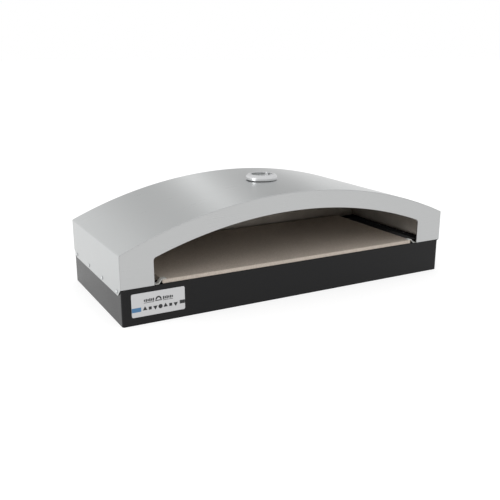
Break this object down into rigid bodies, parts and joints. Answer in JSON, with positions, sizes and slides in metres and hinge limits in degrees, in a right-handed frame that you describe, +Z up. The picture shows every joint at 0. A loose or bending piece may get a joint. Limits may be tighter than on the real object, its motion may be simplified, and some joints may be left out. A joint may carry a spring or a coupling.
{
  "type": "countertop pizza oven",
  "caption": "Low, wide pizza oven that stands over a burner: black open-bottomed base, stainless arched hood with a double ceiling, draw-out stone and dial thermometer on the roof.",
  "frame": {"origin": "centre of the bounding box's bottom, on the surface that the oven stands on", "axes": "+X to the right seen from the front, along the oven's width; -Y out of the mouth; +Z up"},
  "size_m": [0.919, 0.3817, 0.2782],
  "materials": {
    "hood_stainless": "fine brushed stainless, satin",
    "liner_steel": "stainless, tinted and dulled by heat",
    "black_paint": "semi-gloss heat-proof black",
    "cordierite": "matte, fine-grained fired cordierite",
    "bright_steel": "zinc-plated screws, galvanised clips",
    "plate_metal": null,
    "chrome": "satin chrome",
    "dial_paint": "matte dark grey dial",
    "pointer_paint": "matte off-white",
    "gauge_glass": "clear flat glass",
    "brass": "plain brass",
    "gasket_rubber": "matte black high-temperature silicone"
  },
  "bodies": {
    "oven": {"hood_shell": "hood_stainless", "front_fascia": "hood_stainless", "rear_panel": "hood_stainless", "cavity_liner": "liner_steel", "cavity_back": "liner_steel", "ceiling_stay_left": "liner_steel", "ceiling_stay_right": "liner_steel", "heat_deflector": "liner_steel", "base_shell": "black_paint", "base_back_panel": "black_paint", "front_sill": "black_paint", "rear_sill": "black_paint", "side_ledge_left": "black_paint", "side_ledge_right": "black_paint", "foot_rail_left": "black_paint", "foot_rail_right": "black_paint", "foot_rail_front": "black_paint", "foot_rail_rear": "black_paint", "deflector_hanger_left": "black_paint", "deflector_hanger_right": "black_paint", "stone_clip_left": "bright_steel", "stone_clip_right": "bright_steel", "clip_screw_left": "bright_steel", "clip_screw_right": "bright_steel", "side_screw_left_1": "bright_steel", "side_screw_left_2": "bright_steel", "side_screw_left_3": "bright_steel", "side_screw_left_4": "bright_steel", "side_screw_right_1": "bright_steel", "side_screw_right_2": "bright_steel", "side_screw_right_3": "bright_steel", "side_screw_right_4": "bright_steel", "gauge_cup": "bright_steel", "gauge_stem": "bright_steel", "gauge_washer": "bright_steel", "gauge_wing_nut": "bright_steel", "rating_plate": "plate_metal", "gauge_bezel": "chrome", "gauge_dial": "dial_paint", "gauge_lens": "gauge_glass", "gauge_coil": "brass", "gauge_bushing": "brass", "gauge_gasket": "gasket_rubber"},
    "stone": {"pizza_stone": "cordierite"},
    "pointer": {"gauge_pointer": "pointer_paint", "gauge_spindle": "bright_steel"}
  },
  "joints": [
    {"name": "stone_slide", "type": "slide", "parent": "oven", "child": "stone", "axis": [0, -1, 0], "range_m": [0, 0.36]},
    {"name": "pointer_turn", "type": "hinge", "parent": "oven", "child": "pointer", "pos_m": [0, 0, 0.27], "axis": [0, 0, -1], "range_deg": [0, 270]}
  ]
}
